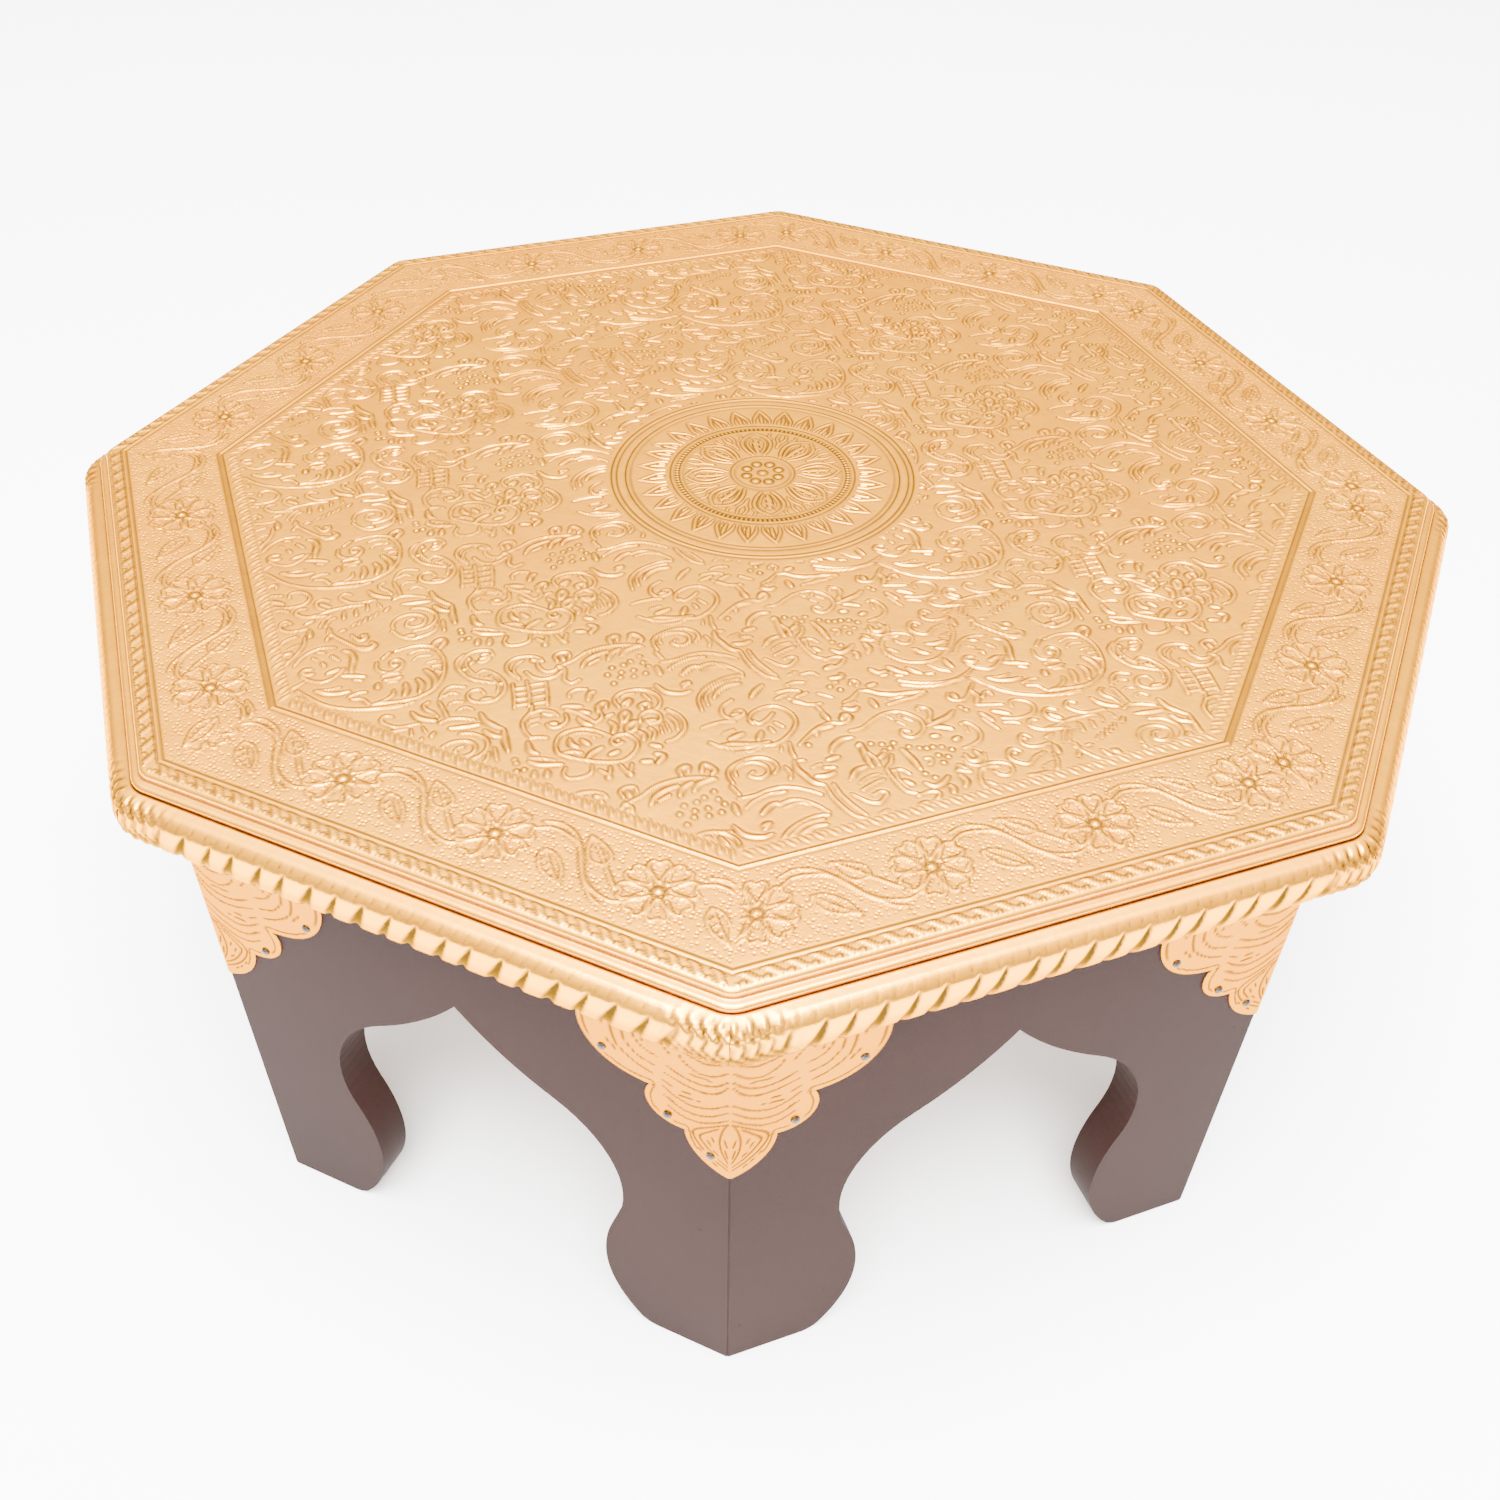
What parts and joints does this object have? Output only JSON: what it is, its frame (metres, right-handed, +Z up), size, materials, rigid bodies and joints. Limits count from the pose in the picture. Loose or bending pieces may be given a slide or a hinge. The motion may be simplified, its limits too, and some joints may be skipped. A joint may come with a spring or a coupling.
{
  "type": "tray table",
  "caption": "Low octagonal table: embossed brass-clad top with a roped rolled edge on an arched eight-panel wooden base with brass corner plates.",
  "frame": {"origin": "on the floor under the centre of the top", "axes": "+Z up; flat sides of the octagon face +X, -X, +Y and -Y"},
  "size_m": [0.406, 0.406, 0.178],
  "materials": {
    "brass": "polished, embossed, lacquered",
    "painted_wood": "satin brown paint",
    "raw_wood": "planed, unfinished",
    "steel": "plain bright"
  },
  "bodies": {
    "root": {"top_board": "raw_wood", "brass_top": "brass", "side_panel_1": "painted_wood", "side_panel_2": "painted_wood", "side_panel_3": "painted_wood", "side_panel_4": "painted_wood", "side_panel_5": "painted_wood", "side_panel_6": "painted_wood", "side_panel_7": "painted_wood", "side_panel_8": "painted_wood", "corner_plate_1": "brass", "corner_plate_2": "brass", "corner_plate_3": "brass", "corner_plate_4": "brass", "corner_plate_5": "brass", "corner_plate_6": "brass", "corner_plate_7": "brass", "corner_plate_8": "brass", "plate_nails_1": "steel", "plate_nails_2": "steel", "plate_nails_3": "steel", "plate_nails_4": "steel", "plate_nails_5": "steel", "plate_nails_6": "steel", "plate_nails_7": "steel", "plate_nails_8": "steel", "corner_block_1": "raw_wood", "corner_block_2": "raw_wood", "corner_block_3": "raw_wood", "corner_block_4": "raw_wood", "corner_block_5": "raw_wood", "corner_block_6": "raw_wood", "corner_block_7": "raw_wood", "corner_block_8": "raw_wood", "block_screws": "steel", "rim_tacks": "steel"}
  },
  "joints": []
}
